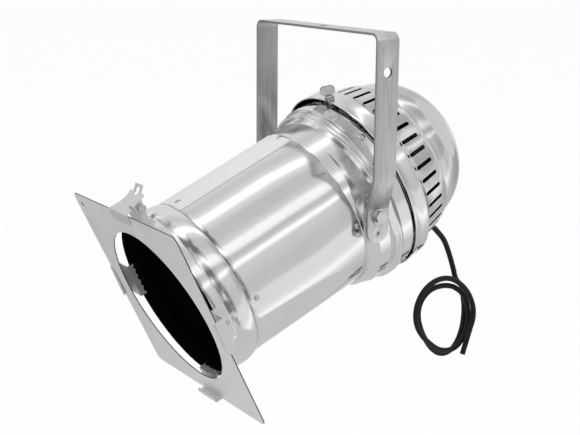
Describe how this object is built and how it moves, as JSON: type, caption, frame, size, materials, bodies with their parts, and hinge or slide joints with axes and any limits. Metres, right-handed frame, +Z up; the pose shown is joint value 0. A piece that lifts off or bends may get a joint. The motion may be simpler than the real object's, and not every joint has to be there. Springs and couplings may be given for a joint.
{
  "type": "par can stage light",
  "caption": "Polished can-shaped stage light in a flat strap yoke, with a square filter frame in clips at the mouth, a vented hinged rear lid and a coiled flexible cord.",
  "frame": {"origin": "centre of the hanging hole in the yoke's top bar, half way through the strap", "axes": "+Z up along the hanging hole, -Y the way the light faces (nose down by 23.76 degrees), +X towards the arm with the large hole"},
  "size_m": [0.252, 0.5182, 0.4492],
  "materials": {
    "zinc_steel": "satin",
    "bright_aluminium": "polished",
    "yoke_aluminium": "satin",
    "frame_aluminium": "satin",
    "bore_black": "polished outside, matt black inside",
    "lens_glass": "clear pressed",
    "reflector_glass": "silvered",
    "contact_brass": "plain",
    "ceramic": "matt",
    "lead_sleeve": "matt",
    "gland_plastic": "satin",
    "cord_rubber": "satin"
  },
  "bodies": {
    "yoke": {"yoke": "yoke_aluminium"},
    "can": {"tilt_bolts": "zinc_steel", "tilt_washers": "zinc_steel", "tilt_nuts": "zinc_steel", "saddle_near": "bright_aluminium", "saddle_far": "bright_aluminium", "saddle_rivets": "zinc_steel", "front_bell": "bore_black", "barrel": "bore_black", "barrel_rivets": "zinc_steel", "rear_body": "bright_aluminium", "band_screws": "zinc_steel", "side_clip_near": "bright_aluminium", "side_clip_far": "bright_aluminium", "bottom_clip": "bright_aluminium", "clip_rivets": "zinc_steel", "latch_bracket": "bright_aluminium", "latch_pin": "zinc_steel", "latch_spring": "zinc_steel", "filter_frame": "frame_aluminium", "lamp_ring": "zinc_steel", "lamp_wire": "zinc_steel", "lamp_lens": "lens_glass", "lamp_reflector": "reflector_glass", "lamp_prongs": "contact_brass", "lamp_socket": "ceramic", "screw_tongue": "zinc_steel", "hinge_bracket": "zinc_steel", "hinge_pin": "zinc_steel"},
    "lid": {"hinge_leaf": "zinc_steel", "rear_lid": "bright_aluminium", "terminal_block": "ceramic", "block_posts": "zinc_steel", "cable_gland": "gland_plastic", "gland_nut": "gland_plastic", "lamp_leads": "lead_sleeve", "cord_lead": "cord_rubber", "cord_coil": "cord_rubber"},
    "latch": {"top_latch": "bright_aluminium"},
    "screw": {"thumb_screw": "zinc_steel"}
  },
  "joints": [
    {"name": "tilt", "type": "hinge", "parent": "yoke", "child": "can", "pos_m": [0, 0, -0.2036], "axis": [1, 0, 0], "range_deg": [-60, 48]},
    {"name": "lid_hinge", "type": "hinge", "parent": "can", "child": "lid", "pos_m": [0, 0.09093, -0.30069], "axis": [-1, 0, 0], "range_deg": [0, 95]},
    {"name": "latch_lift", "type": "hinge", "parent": "can", "child": "latch", "pos_m": [0, -0.24882, -0.18169], "axis": [-1, 0, 0], "range_deg": [0, 45], "stiffness_Nm_per_rad": 0.12, "springref_deg": -34.38, "deforming": ["latch_spring"]},
    {"name": "screw_turn", "type": "hinge", "parent": "can", "child": "screw", "pos_m": [0.01438, -0.00024, -0.0812], "axis": [0.1219, -0.3999, 0.9084], "continuous": true}
  ]
}
